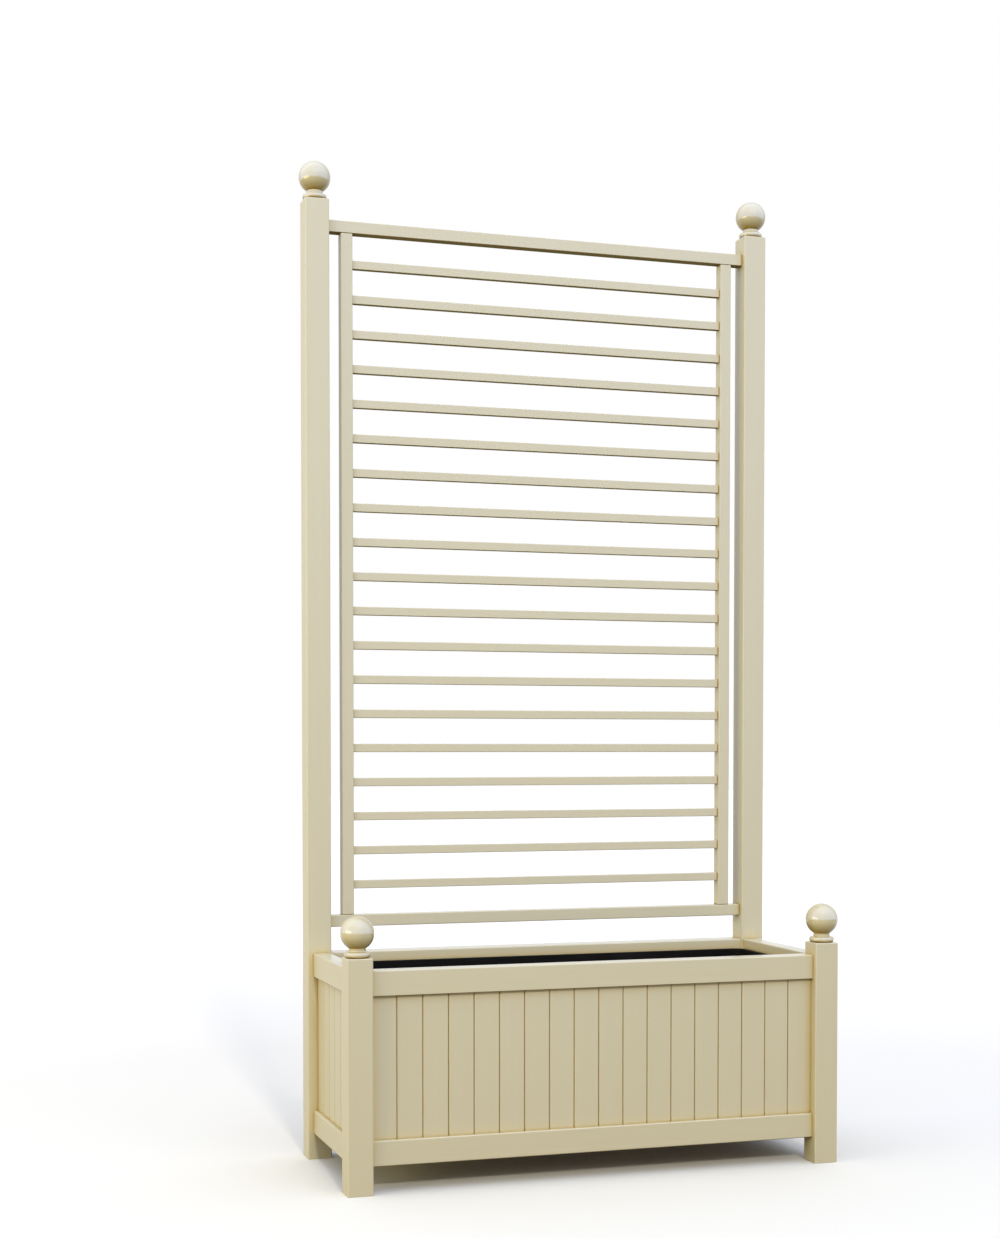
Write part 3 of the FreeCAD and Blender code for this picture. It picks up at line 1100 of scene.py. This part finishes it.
@dataclass
class TroughLiner:
    """Black trough with tapered walls, round corners and a turned-out rim."""

    wall: float = 0.003
    rim_width: float = 0.007
    edge_ease: float = 0.00075
    edge_segments: int = 3
    corner_radius: float = 0.023
    corner_segments: int = 10
    foot_radius: float = 0.012
    foot_segments: int = 6
    taper: float = 0.010
    drain_radius: float = 0.006
    drain_spacing: float = 0.270
    drain_sides: int = 40
    drill_length: float = 0.012

    def build(self, finishes: Finishes) -> None:
        """Models the trough as a skin, thickens it, drills it and dresses it.

        Args:
            finishes: the shared materials.
        """
        low, high = (Vector(corner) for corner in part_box("liner"))
        walls_low = low + Vector((self.rim_width, self.rim_width, 0.0))
        walls_high = high - Vector((self.rim_width, self.rim_width, self.wall))
        size = walls_high - walls_low
        foot_share = (1 - 2 * self.taper / size.x, 1 - 2 * self.taper / size.y, 1.0)
        rim_share = (1 + 2 * self.rim_width / size.x, 1 + 2 * self.rim_width / size.y, 1.0)
        liner = add_block("trough_liner", walls_low, walls_high)
        with editing(liner):
            pick(liner, Element.FACE, lambda face: face.normal.z > LEVEL)
            bpy.ops.mesh.delete(type="ONLY_FACE")
            pick(liner, Element.FACE, lambda face: face.normal.z < -LEVEL)
            bpy.ops.transform.resize(value=foot_share, center_override=(0.0, 0.0, low.z))
            pick(liner, Element.EDGE,
                 lambda edge: abs(edge.verts[0].co.z - edge.verts[1].co.z) > self.taper)
            round_off(Rounding.EDGES, self.corner_radius, self.corner_segments)
            pick(liner, Element.EDGE, lambda edge: all(v.co.z < low.z + NEAR for v in edge.verts))
            round_off(Rounding.EDGES, self.foot_radius, self.foot_segments)
            pick(liner, Element.EDGE, lambda edge: edge.is_boundary)
            pull((0.0, 0.0, 0.0))
            bpy.ops.transform.resize(value=rim_share, center_override=(0.0, 0.0, walls_high.z))
            face_outwards()
            bpy.ops.mesh.flip_normals()
        apply_modifier(liner, "thickness", "SOLIDIFY", thickness=self.wall, offset=-1.0,
                       use_even_offset=True)
        self.drill(liner, low.z)
        ease_edges(liner, self.edge_ease, self.edge_segments)
        hand_over(liner, LINER_BODY, LINER_SLOT, finishes.plastic, "liner")

    def drill(self, liner: Piece, floor_z: float) -> None:
        """Cuts the drain holes through the floor.

        Args:
            liner: the trough.
            floor_z: height of its underside.
        """
        for x in (-self.drain_spacing, 0.0, self.drain_spacing):
            bpy.ops.mesh.primitive_cylinder_add(vertices=self.drain_sides,
                                                radius=self.drain_radius,
                                                depth=self.drill_length,
                                                location=(x, 0.0, floor_z))
            drill = settle("drill")
            apply_modifier(liner, "drain", "BOOLEAN", operation="DIFFERENCE", solver="EXACT",
                           object=drill)
            bpy.data.objects.remove(drill)


@dataclass
class Trellis:
    """Frame and horizontal slats between the rear posts."""

    bar_arris: float = 0.0018
    slat_arris: float = 0.0013
    arris_segments: int = 4
    slat_count: int = 19

    def bar(self, node: str, low: Point, high: Point, arris: float) -> Piece:
        """Bar with round arrises, named after its CAD node.

        Args:
            node: name of the CAD node.
            low: lowest corner.
            high: highest corner.
            arris: width of the rounding.

        Returns:
            The bar.
        """
        bar = add_block(node + "_painted", low, high)
        ease_edges(bar, arris, self.arris_segments)
        return bar

    def build(self, finishes: Finishes) -> None:
        """Models the two rails, the two stiles and the slats, each between its shoulders.

        Args:
            finishes: the shared materials.
        """
        rail_ends = (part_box("rear_left_post")[1][0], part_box("rear_right_post")[0][0])
        stile_ends = (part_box("trellis_bottom_rail")[1][2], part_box("trellis_top_rail")[0][2])
        slat_ends = (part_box("trellis_left_stile")[1][0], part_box("trellis_right_stile")[0][0])
        for node in ("trellis_bottom_rail", "trellis_top_rail"):
            low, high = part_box(node)
            rail = self.bar(node, (rail_ends[0], low[1], low[2]), (rail_ends[1], high[1], high[2]),
                            self.bar_arris)
            hand_over(rail, PLANTER_BODY, PAINT_SLOT, finishes.paint[Grain.ALONG_X], node)
        for node in ("trellis_left_stile", "trellis_right_stile"):
            low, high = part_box(node)
            stile = self.bar(node, (low[0], low[1], stile_ends[0]),
                             (high[0], high[1], stile_ends[1]), self.bar_arris)
            hand_over(stile, PLANTER_BODY, PAINT_SLOT, finishes.paint[Grain.ALONG_Z], node)
        nodes = [f"trellis_slat_{number:02d}" for number in range(1, self.slat_count + 1)]
        low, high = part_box(nodes[0])
        slats = [self.bar(nodes[0], (slat_ends[0], low[1], low[2]),
                          (slat_ends[1], high[1], high[2]), self.slat_arris)]
        for node in nodes[1:]:
            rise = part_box(node)[0][2] - low[2]
            slats.append(copy_of(slats[0], node + "_painted", (0.0, 0.0, rise)))
        for node, slat in zip(nodes, slats):
            hand_over(slat, PLANTER_BODY, PAINT_SLOT, finishes.paint[Grain.ALONG_X], node)


# Studio

@dataclass(frozen=True)
class Softbox:
    """Rectangular soft lamp: its place, its width and height, its watts and its colour."""

    name: str
    place: Point
    size: Pair
    power: float
    colour: Colour


@dataclass
class Studio:
    """Pale floor, white surroundings, soft lamps and the camera of the photograph.

    Gloss mirrors a bright front, which fades out on the far side of the object, or the edges of
    the finials would drown in it.
    """

    image_height_px: float = 1238.0
    focal_length_px: float = 1921.6
    axis_below_middle_px: float = 194.4
    sensor_height_mm: float = 36.0
    camera_place: Point = (-1.3049, -3.6203, 0.8279)
    camera_turn_deg: float = -17.79
    camera_tilt_deg: float = -1.97
    floor_size: float = 60.0
    floor_colours: tuple[Colour, Colour] = ((0.785, 0.770, 0.680), (0.96, 0.935, 0.83))
    floor_bounces: tuple[Colour, Colour] = ((0.205, 0.160, 0.048), (0.42, 0.46, 0.60))
    floor_reaches: Pair = (1.6, 4.5)
    white: Colour = (1.0, 1.0, 1.0)
    sky_horizon: Colour = (0.55, 0.54, 0.50)
    sky_zenith: Colour = (1.20, 1.27, 1.63)
    front_gloss: Colour = (3.10, 4.00, 6.20)
    onward: Point = (0.334, 0.943, 0.0)
    onward_limits: Pair = (0.64, 0.0)
    key_from: Point = (-0.060, -0.807, 0.588)
    key_distance: float = 15.0
    key_strength: float = 1.00
    key_softness_deg: float = 5.0
    key_colour: Colour = (1.0, 0.94, 0.82)
    softboxes: tuple[Softbox, ...] = (
        Softbox("softbox", (0.3, -3.0, 4.4), (4.0, 2.4), 28.0, (0.80, 0.97, 1.40)),
        Softbox("fill", (-5.8, -1.5, 1.4), (4.6, 1.5), 155.0, (1.0, 0.85, 0.38)))

    def camera(self) -> None:
        """Sets the camera up as it stood for the photograph."""
        data = bpy.data.cameras.new("camera")
        data.sensor_fit = "VERTICAL"
        data.sensor_height = self.sensor_height_mm
        data.lens = self.focal_length_px / self.image_height_px * self.sensor_height_mm
        data.shift_y = self.axis_below_middle_px / self.image_height_px
        camera = bpy.data.objects.new("camera", data)
        camera.location = self.camera_place
        camera.rotation_euler = (QUARTER + math.radians(self.camera_tilt_deg), 0.0,
                                 math.radians(self.camera_turn_deg))
        bpy.context.scene.collection.objects.link(camera)
        bpy.context.scene.camera = camera

    def seen(self, nodes: Palette) -> Socket:
        """Share that is 1 for what the camera, a reflection or a clear material shows.

        Args:
            nodes: node tree of the floor or the surroundings.

        Returns:
            The share.
        """
        path = nodes.add("LightPath").outputs
        shown = nodes.work_out(Sum.LARGER, path["Is Camera Ray"], path["Is Glossy Ray"])
        return nodes.work_out(Sum.LARGER, shown, path["Is Transmission Ray"])

    def floor(self) -> None:
        """Lays the floor, which looks pale and throws up warm light near by and cool far off."""
        bpy.ops.mesh.primitive_plane_add(size=self.floor_size, location=(0.0, 0.0, 0.0))
        floor = settle("floor")
        material = bpy.data.materials.new("floor")
        nodes = Palette(material)
        place = nodes.add("TexCoord").outputs["Object"]
        distance = nodes.add("VectorMath", operation="LENGTH", Vector=place).outputs["Value"]
        away = nodes.span(distance, self.floor_reaches)
        thrown = nodes.blend(away, *self.floor_bounces)
        shown = nodes.blend(away, *self.floor_colours)
        colour = nodes.blend(self.seen(nodes), thrown, shown)
        nodes.surface(nodes.add("BsdfDiffuse", Color=colour).outputs["BSDF"])
        floor.data.materials.append(material)

    def surroundings(self) -> None:
        """White where they are seen, a bright front to gloss, and otherwise a soft sky's light."""
        world = bpy.data.worlds.new("surroundings")
        bpy.context.scene.world = world
        nodes = Palette(world)
        way = nodes.add("TexCoord").outputs["Generated"]
        height = nodes.add("SeparateXYZ", Vector=way).outputs["Z"]
        light = nodes.blend(nodes.span(height, (0.0, 1.0)), self.sky_horizon, self.sky_zenith)
        front = nodes.span(nodes.match(way, self.onward), self.onward_limits)
        glossy = nodes.add("LightPath").outputs["Is Glossy Ray"]
        mirrored = nodes.work_out(Sum.PRODUCT, glossy, front)
        shown = nodes.blend(mirrored, self.white, self.front_gloss)
        colour = nodes.blend(self.seen(nodes), light, shown, Laying.LIGHTER)
        background = nodes.add("Background", Color=colour)
        nodes.add("OutputWorld", Surface=background.outputs["Background"])

    def lamps(self) -> None:
        """Hangs the key, which gives the shadow, and the softboxes in front and on the left."""
        key = bpy.data.lights.new("key", "SUN")
        key.energy = self.key_strength
        key.angle = math.radians(self.key_softness_deg)
        key.color = self.key_colour
        self.hang(key, Vector(self.key_from) * self.key_distance).visible_glossy = False
        for softbox in self.softboxes:
            light = bpy.data.lights.new(softbox.name, "AREA")
            light.shape = "RECTANGLE"
            light.size, light.size_y = softbox.size
            light.energy = softbox.power
            light.color = softbox.colour
            self.hang(light, Vector(softbox.place))

    def hang(self, light: bpy.types.Light, place: Vector) -> bpy.types.Object:
        """Puts a lamp in its place, facing the middle of the object.

        Args:
            light: the lamp.
            place: where it hangs.

        Returns:
            The lamp's object.
        """
        lamp = bpy.data.objects.new(light.name, light)
        middle = (Vector(CAD_BOX[0]) + Vector(CAD_BOX[1])) / 2
        lamp.location = place
        lamp.rotation_euler = (middle - place).to_track_quat("-Z", "Y").to_euler()
        bpy.context.scene.collection.objects.link(lamp)
        return lamp

    def build(self) -> None:
        """Sets up the whole studio."""
        bpy.context.scene.view_settings.view_transform = "Standard"
        self.camera()
        self.floor()
        self.surroundings()
        self.lamps()


def main() -> None:
    """Builds the studio and every sub-assembly."""
    logging.basicConfig(level=logging.INFO, format="%(message)s")
    Studio().build()
    finishes = Finishes()
    CornerPosts().build(finishes)
    BallFinials().build(finishes)
    for side in (BoxSide("front", 0.0, Grain.ALONG_X), BoxSide("right", QUARTER, Grain.ALONG_Y),
                 BoxSide("rear", 2 * QUARTER, Grain.ALONG_X),
                 BoxSide("left", -QUARTER, Grain.ALONG_Y)):
        side.build(finishes)
    LinerFloor().build(finishes)
    TroughLiner().build(finishes)
    Trellis().build(finishes)


if __name__ == "__main__":
    main()
